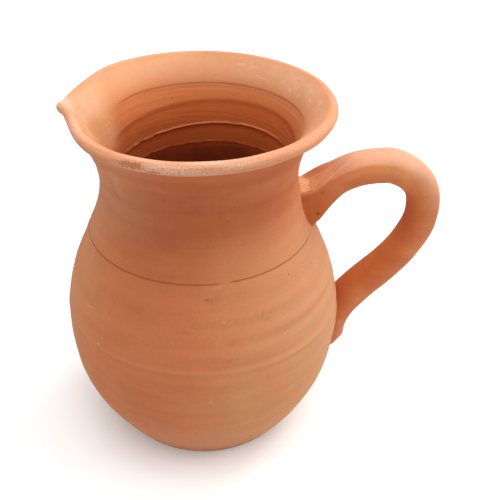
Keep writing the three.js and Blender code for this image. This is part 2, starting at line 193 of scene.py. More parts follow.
# Patches of tone: azimuth, spread, height, spread and strength
RED_PATCHES = [(258, 35, 158, 18, 0.3)]
# Neck patches of painted shade under the flare.
SHADED_NECK_PATCHES = [(FRONT, 26, 186, 8, 0.14), (248, 20, 163, 7, 0.1)]
# The flare's inside and the lip, as bands and as a patch
# Pale powder with painted highlight on the flare's inside; the spout facet is a painted highlight.
POWDER_AND_HIGHLIGHT_FLARE = (15, 50, 0.65)
SPOUT_FACET = [(171, 8, 210.5, 3.2, 1)]
LIP_WEAR = [(268, 22, 0.75), (205, 25, 0.25)]
LIP_DUST = 0.35
WORN_NUB = (SPOUT_AZIMUTH, 5, 0.7)

# Small marks of use and making: azimuth, height, half the length along and across, turn from level,
# and strength. How far they reach into the wall is the same for all.
MARK_DEPTH = 6
PALE_MARKS = [
    (277.6, 123, 0.9, 0.7, 0, 0.3),
    (271, 73.5, 1, 0.8, 0, 0.4),
    (223, 96, 1, 0.8, 0, 0.5),
    (204.5, 137, 4, 0.6, 100, 0.45),
    (214.6, 114, 4.5, 0.7, 8, 0.3),
    (224, 193, 9, 4.5, 70, 0.18),
    (342.7, 153, 13, 0.8, 68, 0.4),
    (276, 141.2, 4.5, 1.3, 4, 0.12),
]
DARK_MARKS = [
    (271.2, 135.5, 1.5, 1, 0, 0.55),
    (273.5, 134.9, 4.5, 1.7, 0, 0.18),
    (262, 119, 3.6, 0.9, -6, 0.22),
    # The next two paint the shadow under a shallow dent's curved edge.
    (294.2, 122.5, 3, 0.8, 75, 0.2),
    (296.4, 119.6, 2.2, 0.8, 5, 0.2),
    (252.6, 215.3, 2.2, 0.9, 0, 0.6),
]
RED_MARKS = [(280.2, 111.5, 3.4, 2.2, 4, 0.2), (279, 101.5, 4.8, 1.6, 0, 0.2)]
CHIPS = [(245.8, 217.6, 6.6, 1.6, 0, 0.9), (254.5, 215.6, 2.6, 0.7, 0, 0.6)]
FLARE_SCUFFS = [
    (65.5, 215.6, 3.4, 0.7, 0, 0.4),
    (59, 215.1, 3, 0.9, -10, 0.35),
    (50.8, 211.2, 5, 0.6, 5, 0.3),
    (36.7, 212.6, 4, 0.7, 20, 0.25),
    (29, 210.8, 1.6, 1.2, 0, 0.3),
    (20.6, 210.5, 1.4, 1.6, 0, 0.35),
    (13.9, 215.9, 2.8, 0.8, 0, 0.35),
    (9.3, 212.9, 1.6, 1.2, 0, 0.35),
    (359.5, 215.9, 3, 0.8, 0, 0.35),
]

# Camera of the photograph, in millimetres, radians and its pixels
CAMERA_PLACE = (0, -368.03, 378.10)
CAMERA_PAN = 0.081
CAMERA_TILT = 0.615
CAMERA_ROLL = 0.011
CAMERA_FOCAL = 716.06
PHOTO_WIDTH = 500
SENSOR_WIDTH = 36

# Light from all round, and the floor's own brightness to the camera
WORLD_LIGHT = 0.42
FLOOR_LIFT = 0.16
# Half the floor's width, and where it starts to whiten and is white, in metres
FLOOR_HALF = 6.0
FLOOR_WHITENS = (0.35, 1.4)
# Round lamps in metres and watts: place, what it points at, size and power
LAMPS = {
    "overhead": ((0.1, -0.1, 1.5), (0, 0, 0.15), 1.6, 19),
    "back_right": ((0.8, 0.7, 1.0), (0, 0, 0.15), 0.9, 8.5),
    "right": ((1.3, -0.1, 0.6), (0, 0, 0.12), 0.9, 4.6),
    "front_left": ((-0.6, -1.2, 1.1), (0, 0, 0.15), 1.2, 2),
}

# Colours that the clays share
DEEP_COLOUR = "#8c4426"
# Painted bounce light: saturated orange in shaded places.
PAINTED_BOUNCE_COLOUR = "#c2652d"
# Painted deep shade, also the colour of the real stains by the strap's root.
SHADE_AND_STAIN_COLOUR = "#5a2419"
WORN_COLOUR = "#efcdb8"
SCUFF_COLOUR = "#e3b8a0"
RED_MARK_COLOUR = "#a04a2c"
BROKEN_COLOURS = ("#a85f34", "#d08a58")
STAIN_AND_SHADOW_COLOUR = "#6e3a26"
# Colours of each clay: its body, and what tan, red tone with painted shade, and dust with painted light
# turn it to
BODY_COLOURS = ("#d28053", "#ce8f5d", "#b65f38", "#d9a683")
HANDLE_COLOURS = ("#ca7346", "#f0b070", "#b65f38", "#cf9f88")
# The luting clay is paler in part as painted light on the collar's roll.
LUTING_COLOURS = ("#e09a72", "#f0b483", "#b65f38", "#f6c49c")
# Colours of the floor, as it lights the jug and as direct rays see it
FLOOR_COLOURS = ("#dcdcdc", "#f6f6f6")

# Edges of the clay's meshes that turn by more than this are sharp
SHARP_ANGLE = 50


# Small helpers for numbers

def bump(offset, spread):
    return np.exp(-(offset / spread) ** 2)


def step_up(value, start, end):
    """0 below start, 1 above end, and smooth between them."""
    share = np.clip((value - start) / (end - start), 0, 1)
    return share * share * (3 - 2 * share)


def turn_between(azimuth, middle):
    """Degrees from middle to azimuth, the short way round."""
    return (azimuth - middle + 180) % 360 - 180


def between(value, start, full, fading, end):
    """0 outside start and end, and 1 from full to fading."""
    return step_up(value, start, full) * (1 - step_up(value, fading, end))


def band(azimuth, middle, spread, strength=1):
    """An upright band with soft sides."""
    return strength * bump(turn_between(azimuth, middle), spread)


def patches(azimuth, height, rows):
    """Soft patches of the wall, added up."""
    return sum(band(azimuth, middle, width, strength) * bump(height - level, tall)
               for middle, width, level, tall, strength in rows)


def drift(seed, azimuth, height, turns=5, spacing=40, waves=14, ringed=False):
    """Smooth random field over the jug, about -1 to 1, which closes round the axis."""
    draw = np.random.default_rng(seed)
    angle = np.radians(azimuth)
    field = 0
    for _ in range(waves):
        phase = draw.uniform(0, 2 * np.pi)
        around = draw.integers(-turns, turns + 1)
        pace = 1 / draw.uniform(0.65, 1.6) if ringed else draw.normal()
        field += np.cos(around * angle + 2 * np.pi * height * pace / spacing + phase)
    return field / math.sqrt(waves)


def ripples(seed, azimuth, height, spacing):
    """Throwing rings: ridges about one spacing apart, which wander a little."""
    return drift(seed, azimuth, height, turns=2, spacing=spacing, waves=6, ringed=True)


def below(ring, azimuth, height):
    """How far points lie under a tilted ring."""
    level, tilt, towards = ring
    return level + tilt * np.cos(np.radians(azimuth - towards)) - height


# The outline: curves in (radius, height), where each number may be an array

def bezier(start, leave, arrive, end, t):
    s = 1 - t
    weights = (s ** 3, 3 * s * s * t, 3 * s * t * t, t ** 3)
    points = (start, leave, arrive, end)
    return [sum(w * p[axis] for w, p in zip(weights, points)) for axis in (0, 1)]


def foot_curve(t):
    flare = math.radians(FOOT_FLARE)
    leave = (FOOT_RADIUS + FOOT_FULLNESS * math.cos(flare), FOOT_FULLNESS * math.sin(flare))
    arrive = (BELLY_RADIUS, BELLY_HEIGHT - BELLY_FULLNESS_BELOW)
    return bezier((FOOT_RADIUS, 0), leave, arrive, (BELLY_RADIUS, BELLY_HEIGHT), t)


def shoulder_curve(t):
    leave = (BELLY_RADIUS, BELLY_HEIGHT + BELLY_FULLNESS_ABOVE)
    arrive = (NECK_RADIUS, NECK_HEIGHT - NECK_FULLNESS_BELOW)
    return bezier((BELLY_RADIUS, BELLY_HEIGHT), leave, arrive, (NECK_RADIUS, NECK_HEIGHT), t)


def share_at(curve, height):
    shares = np.linspace(0, 1, 2001)
    return float(np.interp(height, curve(shares)[1], shares))


def wall_radius(height):
    """Radius of the outside at heights up to the neck."""
    shares = np.linspace(0, 1, 400)
    radii, heights = np.hstack([foot_curve(shares), shoulder_curve(shares)])
    return np.interp(height, heights, radii)


def push(section, depth):
    """Moves a section out of the clay, square to it. The clay is on the left of its run."""
    r, z = section
    along_r = np.gradient(r, axis=-1)
    along_z = np.gradient(z, axis=-1)
    length = np.hypot(along_r, along_z)
    return [r + depth * along_z / length, z - depth * along_r / length]


def stack(azimuths, *sections):
    """Joins stretches of a section, as arrays of azimuth by row."""
    size = len(azimuths)
    spread_out = [[np.broadcast_to(a, (size, np.shape(a)[-1])) for a in s] for s in sections]
    return [np.concatenate([s[axis] for s in spread_out], axis=1) for axis in (0, 1)]


# Meshes

def grid_mesh(name, points, capped):
    """Mesh over a grid of points, closed both ways or capped along its rows."""
    columns, rows = points.shape[:2]
    column = np.arange(columns)[:, None]
    row = np.arange(rows - 1 if capped else rows)[None, :]
    next_column = (column + 1) % columns
    next_row = (row + 1) % rows
    corners = [column * rows + row, next_column * rows + row,
               next_column * rows + next_row, column * rows + next_row]
    faces = np.stack(corners, axis=-1).reshape(-1, 4).tolist()
    if capped:
        faces.append((np.arange(columns)[::-1] * rows).tolist())
        faces.append((np.arange(columns) * rows + rows - 1).tolist())
    mesh = bpy.data.meshes.new(name)
    mesh.from_pydata((points.reshape(-1, 3) * MM).tolist(), [], faces)
    mesh.validate()
    return mesh


def add_object(name, data):
    made = bpy.data.objects.new(name, data)
    bpy.context.scene.collection.objects.link(made)
    return made


def add_piece(name, node, material, points, masks, capped=False):
    """A piece of clay over a grid of points. Masks that are left out are nought."""
    mesh = grid_mesh(name, points, capped)
    for mask in ("tan", "red_tone_and_shade", "painted_bounce", "dust_and_painted_light", "pitted", "shade_and_stain", "worn"):
        layer = mesh.attributes.new(mask, "FLOAT", "POINT")
        values = np.clip(masks.get(mask, 0) * np.ones(points.shape[:2]), 0, 1)
        layer.data.foreach_set("value", values.astype(np.float32).ravel())
    mesh.shade_smooth()
    mesh.set_sharp_from_angle(angle=math.radians(SHARP_ANGLE))
    mesh.materials.append(material)
    piece = add_object(name, mesh)
    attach(piece, "root")
    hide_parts(node)


def add_turned(name, node, material, azimuths, section, masks, capped=False):
    """A piece from a section of the jug at each azimuth."""
    r, z = section
    angle = np.radians(azimuths)[:, None]
    points = np.stack([r * np.cos(angle), r * np.sin(angle), z], axis=-1)
    add_piece(name, node, material, points, masks, capped)


# Materials

def srgb(code):
    """Linear colour of a code such as #c1744a."""
    parts = [int(code[i:i + 2], 16) / 255 for i in (1, 3, 5)]
    return (*[p / 12.92 if p <= 0.04045 else ((p + 0.055) / 1.055) ** 2.4 for p in parts], 1)


class Look:
    """The nodes of a material or the world, added one at a time."""

    def __init__(self, made):
        made.use_nodes = True
        self.made = made
        self.tree = made.node_tree

    def node(self, kind, inputs, **settings):
        made = self.tree.nodes.new("ShaderNode" + kind)
        for setting, value in settings.items():
            setattr(made, setting, value)
        return self.fill(made, inputs)

    def fill(self, made, inputs):
        for socket, value in inputs.items():
            self.feed(made.inputs[socket], value)
        return made

    def surface(self, inputs):
        self.fill(self.tree.nodes["Principled BSDF"], inputs)
        return self.made

    def feed(self, socket, value):
        """Links a socket or sets it. A colour may be given as its code."""
        if isinstance(value, bpy.types.NodeSocket):
            self.tree.links.new(value, socket)
        else:
            socket.default_value = srgb(value) if isinstance(value, str) else value

    def mix(self, share, first, second, blend="MIX"):
        made = self.node("Mix", {0: share, 6: first, 7: second}, data_type="RGBA", blend_type=blend)
        return made.outputs[2]

    def math(self, operation, first, second):
        return self.node("Math", {0: first, 1: second}, operation=operation).outputs[0]

    def length(self, vector):
        return self.node("VectorMath", {0: vector}, operation="LENGTH").outputs["Value"]

    def range(self, value, low, high, to_low=0.0, to_high=1.0):
        inputs = {"Value": value, "From Min": low, "From Max": high, "To Min": to_low, "To Max": to_high}
        return self.node("MapRange", inputs).outputs["Result"]

    def place(self, scale=(1, 1, 1)):
        where = self.node("TexCoord", {}).outputs["Object"]
        return self.node("Mapping", {"Vector": where, "Scale": scale}).outputs["Vector"]

    def noise(self, vector, scale, **more):
        inputs = {"Vector": vector, "Scale": scale, "Detail": 3, **more}
        return self.node("TexNoise", inputs).outputs["Fac"]

    def mask(self, name):
        return self.node("Attribute", {}, attribute_name=name).outputs["Fac"]

    def bump(self, height, strength, distance, normal=None):
        inputs = {"Height": height, "Strength": strength, "Distance": distance}
        if normal is not None:
            inputs["Normal"] = normal
        return self.node("Bump", inputs).outputs["Normal"]

    def marks(self, where, ragged, rows, inside=False, core=0.2):
        """Small ovals on the wall, with a full core and a ragged edge."""
        share = 0.0
        for azimuth, height, along, across, turn, strength in rows:
            angle = math.radians(azimuth)
            radius = radius_at(azimuth, height, inside)
            centre = (radius * math.cos(angle), radius * math.sin(angle), height)
            inputs = {"Vector": where, "Location": [c * MM for c in centre],
                      "Scale": [size * MM for size in (MARK_DEPTH, along, across)],
                      "Rotation": (math.radians(turn), 0, angle)}
            placed = self.node("Mapping", inputs, vector_type="TEXTURE").outputs["Vector"]
            away = self.math("ADD", self.length(placed), ragged)
            found = self.range(away, core, 1.2, strength, 0)
            share = self.math("MAXIMUM", share, found)
        return share


def clay_tones(look, where, cloud, body, tan, red_tone_and_shade):
    """Cloudy tones between the body's colour, tan and red, moved by the masks. The red also paints shade,
    and the last mix paints bounce light.
    """
    blotch = look.noise(where, 22, Detail=4, Distortion=0.4)
    tone = look.math("ADD", look.range(blotch, 0.34, 0.66, -0.3, 0.3), look.mask("tan"))
    colour = look.mix(look.range(tone, 0, 1), body, tan)
    flushed = look.math("ADD", look.range(cloud, 0.3, 0.7, -0.12, 0.12), look.mask("red_tone_and_shade"))
    colour = look.mix(look.range(flushed, 0, 1), colour, red_tone_and_shade)
    return look.mix(look.mask("painted_bounce"), colour, PAINTED_BOUNCE_COLOUR)


def pits(look, where, scale, edge, chosen):
    """Round pits in some cells of a pattern, which fade over their edge."""
    cells = look.node("TexVoronoi", {"Vector": where, "Scale": scale})
    dot = look.range(cells.outputs["Distance"], *edge, 1, 0)
    drawn = look.node("SeparateColor", {0: cells.outputs["Color"]}).outputs[0]
    return look.math("MULTIPLY", dot, look.range(drawn, *chosen))


def all_pits(look, where):
    """A few faint pits all over, and many where the mask asks for them."""
    few = look.math("MULTIPLY", pits(look, where, 380.0, (0.1, 0.24), (0.975, 0.985)), 0.35)
    many = pits(look, where, 850.0, (0.15, 0.42), (0.55, 0.9))
    return look.math("MAXIMUM", few, look.math("MULTIPLY", many, look.mask("pitted")))


def with_marks(look, where, grit, colour, height):
    """The clay's colour and fine height, with its marks added."""
    ragged = look.range(look.noise(where, 700, Detail=2), 0.3, 0.7, -0.35, 0.35)
    scuffs = look.math("MAXIMUM", look.marks(where, ragged, PALE_MARKS),
                       look.marks(where, ragged, FLARE_SCUFFS, inside=True))
    colour = look.mix(scuffs, colour, SCUFF_COLOUR)
    colour = look.mix(look.marks(where, ragged, RED_MARKS), colour, RED_MARK_COLOUR)
    chips = look.marks(where, ragged, CHIPS, core=0.9)
    broken = look.mix(look.range(grit, 0.35, 0.65), *BROKEN_COLOURS)
    colour = look.mix(chips, colour, broken)
    # Real stains, and the painted shadow of a dent's edge.
    stains_and_shadows = look.marks(where, ragged, DARK_MARKS)
    colour = look.mix(stains_and_shadows, colour, STAIN_AND_SHADOW_COLOUR)
    sunk = look.math("ADD", chips, look.math("MULTIPLY", stains_and_shadows, 0.5))
    return colour, look.math("SUBTRACT", height, sunk)


def clay(name, colours, marked=False):
    """Unglazed fired clay: cloudy tones, faint streaks, grain, pits, pale dust with painted light, and
    dark stains with painted shade.
    """
    body, tan, red_tone_and_shade, pale = colours
    look = Look(bpy.data.materials.new(name))
    where = look.place()
    cloud = look.noise(where, 60, Detail=5, Roughness=0.6)
    streak = look.noise(look.place((1, 1, 9)), 14)
    grain = look.noise(where, 900, Roughness=0.7)
    grit = look.noise(where, 1300, Roughness=0.7)
    pitted = all_pits(look, where)

    colour = clay_tones(look, where, cloud, body, tan, red_tone_and_shade)
    colour = look.mix(look.range(streak, 0.42, 0.72, 0, 0.15), colour, DEEP_COLOUR)
    # Pale dust, and painted highlight, sheen and bounce light where lit faces turn paler.
    dust_and_light_share = look.math("MULTIPLY", look.mask("dust_and_painted_light"), look.range(cloud, 0.25, 0.6, 0.55, 1))
    colour = look.mix(dust_and_light_share, colour, pale)
    shade = look.range(grain, 0.3, 0.7, 0.95, 1.04)
    colour = look.mix(1.0, colour, shade, blend="MULTIPLY")
    colour = look.mix(pitted, colour, DEEP_COLOUR)
    # Darker: painted shade deep in the throat, in its groove and band, under the flare and by the strap's
    # root, and real stains.
    shade_and_stain = look.math("MULTIPLY", look.mask("shade_and_stain"), look.range(cloud, 0.35, 0.6, 0.7, 1))
    colour = look.mix(shade_and_stain, colour, SHADE_AND_STAIN_COLOUR)
    worn = look.math("MULTIPLY", look.mask("worn"), look.range(grit, 0.42, 0.6, 0.2, 1))
    colour = look.mix(worn, colour, WORN_COLOUR)
    height = look.math("MULTIPLY", grit, look.mask("worn"))
    if marked:
        colour, height = with_marks(look, where, grit, colour, height)

    normal = look.bump(streak, 0.16, 0.0006)
    normal = look.bump(grain, 0.4, 0.00018, normal)
    normal = look.bump(look.math("MULTIPLY", pitted, -1), 0.8, 0.0007, normal)
    normal = look.bump(height, 0.6, 0.0006, normal)
    rough = look.range(cloud, 0.3, 0.7, 0.78, 0.92)
    return look.surface({"Base Color": colour, "Roughness": rough, "Specular IOR Level": 0.25,
                         "Normal": normal})


def outer_tones(azimuth, height):
    """Masks for the outside: red towards the spout and tan towards the handle, with painted sheen at the
    edges, painted bounce light low on the belly, and painted shade on the neck.
    """
    turn = turn_between(azimuth, FRONT) + 8 * drift(18, azimuth, height, turns=6, spacing=50)
    tan_side = between(turn, *TAN_SIDE)
    banded = (0.5 + 0.5 * ripples(16, azimuth, height, 9)) * between(height, *BANDED_HEIGHTS)
    on_belly = 1 - step_up(height, *BELLY_END)
    on_neck = step_up(height, *NECK_START)
    edge = band(azimuth, *PAINTED_SHEEN_EDGE) * on_belly
    red_side = band(azimuth, *RED_BELLY) * step_up(height, 8, 60)
    red_side += patches(azimuth, height, RED_PATCHES)
    # Red on the neck: partly its tone, partly painted shade under the flare.
    red_neck = 0.2 + sum(band(azimuth, *row) for row in RED_NECK)
    red_neck = red_neck + 0.12 * drift(17, azimuth, height, turns=2, spacing=24)
    # Painted bounce glow on the front and in the open shoulder line.
    painted_bounce = band(azimuth, *PAINTED_BOUNCE_FRONT) * step_up(height, 60, 130) * (1 - 0.2 * on_neck)
    at_joint = bump(height - JOINT_HEIGHT, 0.4) * joint_mask(azimuth)
    # Pale: painted sheen at the edges and painted bounce light from the floor low on the belly, over a
    # faint even paleness.
    dust_and_painted_light = 0.05 + 0.4 * edge * (0.8 + 0.25 * banded) + 0.34 * (1 - step_up(height, 10, 62))
    dust_and_painted_light = dust_and_painted_light + band(azimuth, *PAINTED_SHEEN_LEFT) + on_neck * band(azimuth, *PALE_NECK_BAND)
    return {
        # The edge's tan is painted sheen as well.
        "tan": 0.05 + tan_side * (0.1 + 0.4 * on_belly + 0.36 * banded) + 0.3 * edge,
        "red_tone_and_shade": red_side * (1 - on_neck) + red_neck * on_neck,
        "shade_and_stain": patches(azimuth, height, SHADED_NECK_PATCHES),
        "painted_bounce": painted_bounce + 0.8 * at_joint,
        # A painted highlight along the belly ring's ridge.
        "dust_and_painted_light": dust_and_painted_light + 0.13 * bump(below(BELLY_RING, azimuth, height) + 0.4, 1.3),
    }


# Lower body

LOWER_COLUMNS = 360


def belly_relief(azimuth, height):
    """How far the belly's outside stands out of its plain curve."""
    middle, spread = RINGED_HEIGHT
    rings = 0.07 + band(azimuth, *RINGED_SIDE) * bump(height - middle, spread)
    relief = rings * ripples(11, azimuth, height, RING_SPACING) * step_up(height, 50, 85)
    relief += 0.02 * ripples(12, azimuth, height, 3.4)
    relief += 0.15 * drift(13, azimuth, height, turns=6, spacing=45)
    under_ring = below(BELLY_RING, azimuth, height)
    return relief + 0.36 * bump(under_ring, 1.6) - 0.22 * bump(under_ring - 3.4, 2)


def joint_mask(azimuth):
    """1 where the shoulder line is open, and 0 where it is smeared over."""
    opened = 1
    for middle, reach in JOINT_SMEARS:
        opened *= step_up(np.abs(turn_between(azimuth, middle)), 0.72 * reach, 1.17 * reach)
    return opened


def joint_faces(opened, side):
    """A section's stepped faces at the joint, from outside in. Side is -1 below it and 1 above."""
    radius = float(wall_radius(JOINT_HEIGHT))
    ones = np.ones_like(opened)
    chamfer = JOINT_CHAMFER * opened
    face = JOINT_HEIGHT + side * JOINT_GAP / 2 * opened
    seat = (JOINT_HEIGHT + side * (JOINT_GAP + RING_HEIGHT) / 2) * ones
    step = (radius - JOINT_STEP) * ones
    radii = [radius * ones, radius - chamfer - JOINT_EDGE, step, step, (radius - BELLY_WALL) * ones]
    heights = [face + side * chamfer, face, face, seat, seat]
    return [np.concatenate(radii, axis=1), np.concatenate(heights, axis=1)]


def lower_outside(azimuths, joint_share):
    bevel = share_at(foot_curve, FOOT_BEVEL)
    outside = stack(azimuths, foot_curve(np.linspace(bevel, 1, 90)),
                    shoulder_curve(np.linspace(0, joint_share, 76)[1:]))
    height = outside[1]
    fade = step_up(height, 0, 6) * (1 - 0.999 * step_up(height, 139, 142.4))
    return push(outside, belly_relief(azimuths[:, None], height) * fade)


def lower_inside(azimuths, joint_share):
    """The wall's inside, its round corner, and the floor in to the axis."""
    azimuth = azimuths[:, None]
    fillet_share = share_at(foot_curve, FLOOR_THICKNESS + FLOOR_FILLET)
    wall = stack(azimuths, shoulder_curve(np.linspace(joint_share, 0, 28)[1:]),
                 foot_curve(np.linspace(1, fillet_share, 28)[1:]))
    wall = push(wall, BELLY_WALL + 0.25 * ripples(14, azimuth, wall[1], 11))
    edge_r, edge_z = wall[0][:, -1:], wall[1][:, -1:]
    flat_r = FOOT_RADIUS - FLOOR_FILLET
    round_off = np.linspace(0, 1, 9)[1:]
    fillet = [edge_r - (edge_r - flat_r) * round_off ** 1.6,
              FLOOR_THICKNESS + (edge_z - FLOOR_THICKNESS) * (1 - round_off) ** 1.8]
    floor_r = np.linspace(flat_r, 1, 22)[None, 1:]
    rings = 0.3 * ripples(15, azimuth, floor_r, 9) * step_up(floor_r, 0, 12)
    return stack(azimuths, wall, fillet, [floor_r, FLOOR_THICKNESS + rings])


def make_lower_body(material):
    azimuths = np.arange(LOWER_COLUMNS) * 360 / LOWER_COLUMNS
    azimuth = azimuths[:, None]
    joint_share = share_at(shoulder_curve, JOINT_HEIGHT - JOINT_CHAMFER)
    foot_r = np.linspace(1, FOOT_RADIUS - FOOT_BEVEL, 24)[None, :]
    section = stack(azimuths, [foot_r, np.zeros_like(foot_r)], lower_outside(azimuths, joint_share),
                    joint_faces(joint_mask(azimuth), -1), lower_inside(azimuths, joint_share))
    add_turned("thrown_lower_body", "lower_body", material, azimuths, section,
               outer_tones(azimuth, section[1]), capped=True)


# Upper body

UPPER_COLUMNS = 324
SPOUT_CROWDING = 0.35


def lip_at(azimuth):
    """Centre, roundness, channel and slope of the lip's section, as columns."""
    turn = turn_between(azimuth, SPOUT_AZIMUTH)
    pushed_in = sum(p["depth"] * bump(turn - p["offset"], p["spread"]) for p in SPOUT_PINCHES)
    flank = bump(turn - SPOUT_FLANK["offset"], SPOUT_FLANK["spread"])
    tip = bump(turn, SPOUT_TIP_SPREAD)
    nub = bump(turn - SPOUT_NUB["offset"], SPOUT_NUB["spread"])
    half = LIP_THICKNESS / 2
    thinned = 1 - SPOUT_TIP_THINNING * tip - SPOUT_FLANK["thinning"] * flank
    return {
        "radius": RIM_RADIUS - half - pushed_in + SPOUT_TIP_REACH * tip + SPOUT_NUB["reach"] * nub,
        "height": TOTAL_HEIGHT - half + SPOUT_TIP_RISE * tip,
        "roundness": half * thinned + SPOUT_NUB["swelling"] * nub,
        "channel": SPOUT_CHANNEL_DEPTH * bump(turn, SPOUT_CHANNEL_SPREAD),
        "slope": np.radians(FLARE_SLOPE + SPOUT_FLANK["slope"] * flank),
    }


def flare_curve(lip, t):
    end = (lip["radius"], lip["height"] - lip["roundness"])
    leave = (NECK_RADIUS + lip["channel"], NECK_HEIGHT + NECK_FULLNESS_ABOVE)
    arrive = (end[0] - FLARE_FULLNESS * np.cos(lip["slope"]) + lip["channel"],
              end[1] - FLARE_FULLNESS * np.sin(lip["slope"]) - lip["channel"])
    return bezier((NECK_RADIUS, NECK_HEIGHT), leave, arrive, end, t)


def neck_inside(azimuths, lip, joint_share):
    """Plain inside of the upper body, from the lip down to the joint."""
    shares = np.linspace(1, 0, 110)[None, :]
    lip_wall = lip["roundness"] * (1 + np.cos(lip["slope"]))
    flare = flare_curve(lip, shares)
    flare = push(flare, NECK_WALL + (lip_wall - NECK_WALL) * shares)
    shares = np.linspace(1, joint_share, 40)[None, 1:]
    shoulder = stack(azimuths, shoulder_curve(shares))
    return stack(azimuths, flare, push(shoulder, BELLY_WALL + (NECK_WALL - BELLY_WALL) * shares))


def radius_at(azimuth, height, inside):
    """Radius of the plain wall at one place, outside or inside the neck."""
    if height < NECK_HEIGHT and not inside:
        return float(wall_radius(height))
    lip = lip_at(np.array([[azimuth]]))
    if inside:
        radii, heights = neck_inside([azimuth], lip, 0.5)
        return float(np.interp(height, heights[0, ::-1], radii[0, ::-1]))
    radii, heights = flare_curve(lip, np.linspace(0, 1, 60)[None, :])
    return float(np.interp(height, heights[0], radii[0]))


def ledge(drop, depth):
    """The wall is set back under a ledge, and less so further down."""
    return -depth * np.exp(-np.clip(drop, 0, None) / LEDGE_FADE) * step_up(drop, 0, 0.5)


def at_back(azimuth):
    """1 at the back of the neck's inside, and 0 in front."""
    return step_up(np.cos(np.radians(azimuth - 76)), 0.1, 0.5)


def torn_side(azimuth, start, full):
    """1 where the ledges' edges are torn, and 0 elsewhere."""
    return step_up(np.cos(np.radians(azimuth - 85)), start, full)


def under_spout(azimuth):
    """1 where the throat leads up into the spout, and 0 elsewhere."""
    return 1 - step_up(np.abs(turn_between(azimuth, 186)), 18, 40)


def throat_relief(azimuth, height):
    """Ledges, grooves and rings that fingers left inside the neck."""
    rough = drift(21, azimuth, height, turns=40, spacing=60, waves=30)
    torn = torn_side(azimuth, 0.35, 0.6) * (0.75 + 0.25 * rough)
    relief = 0.02 * ripples(22, azimuth, height, 3.5)
    for ring, wander, depth, lifted in LEDGES:
        drop = below(ring, azimuth, height) + wander * rough
        relief = relief + ledge(drop, depth) + lifted * torn * bump(drop + 0.5, 0.6)
    back = at_back(azimuth)
    groove = below(GROOVE, azimuth, height)
    relief -= 0.2 * back * step_up(groove, 0, 2) * np.exp(-np.clip(groove, 0, None) / 5)
    uneven = back * (0.7 + 0.5 * drift(23, azimuth, 0, turns=6))
    relief -= uneven * (0.34 * bump(groove, 0.5) + 0.12 * bump(groove - 2.1, 0.7))
    for ring, depth in FINE_RINGS:
        relief -= depth * uneven * bump(below(ring, azimuth, height), 0.45)
    drop = below(BAND_EDGE, azimuth, height)
    marked = 1 - 0.85 * under_spout(azimuth)
    return relief - marked * step_up(drop, -2, 2.5) * np.exp(-np.clip(drop, 0, None) / 8)


def flare_relief(azimuth, height):
    """The crease under the spout's nub, inside the flare."""
    crease = band(azimuth, SPOUT_CREASE["azimuth"], SPOUT_CREASE["spread"], SPOUT_CREASE["depth"])
    return -crease * between(height, 204, 211, 215, 218)


def neck_relief(azimuth, height):
    """Rings and marks on the outside of the shoulder, neck and flare."""
    relief = 0.05 * ripples(31, azimuth, height, 7) + 0.02 * ripples(32, azimuth, height, 2.8)
    relief += 0.12 * drift(33, azimuth, height, turns=6)
    along = turn_between(azimuth, SPOUT_FOLD["azimuth"])
    away = height - SPOUT_FOLD["height"] + SPOUT_FOLD["fall"] * along
    return relief - SPOUT_FOLD["depth"] * bump(along, SPOUT_FOLD["length"]) * bump(away, 1.1)


def upper_outside(azimuths, lip, joint_share):
    outside = stack(azimuths, shoulder_curve(np.linspace(joint_share, 1, 56)),
                    flare_curve(lip, np.linspace(0, 1, 56)[None, 1:]))
    fade = step_up(outside[1], JOINT_HEIGHT, JOINT_HEIGHT + 4)
    return push(outside, neck_relief(azimuths[:, None], outside[1]) * fade)


def lip_bead(azimuth, lip):
    """The round lip, from its outside over its top to its inside."""
    sweep = np.radians(np.linspace(-90, 90, 44))[None, 1:]
    sweep = sweep + (sweep + math.pi / 2) / math.pi * lip["slope"]
    uneven = 1 + 0.03 * drift(34, azimuth, np.degrees(sweep) / 8, turns=16, spacing=20)
    uneven += 0.014 * ripples(36, azimuth, np.degrees(sweep) / 17, 1.3)
    return [lip["radius"] + lip["roundness"] * uneven * np.cos(sweep),
            lip["height"] + lip["roundness"] * uneven * np.sin(sweep)]


def upper_inside(azimuths, lip, joint_share):
    azimuth = azimuths[:, None]
    inside = neck_inside(azimuths, lip, joint_share)
    relief = throat_relief(azimuth, inside[1]) * between(inside[1], 144, 152, 207, 213)
    return [a[:, 1:] for a in push(inside, relief + flare_relief(azimuth, inside[1]))]


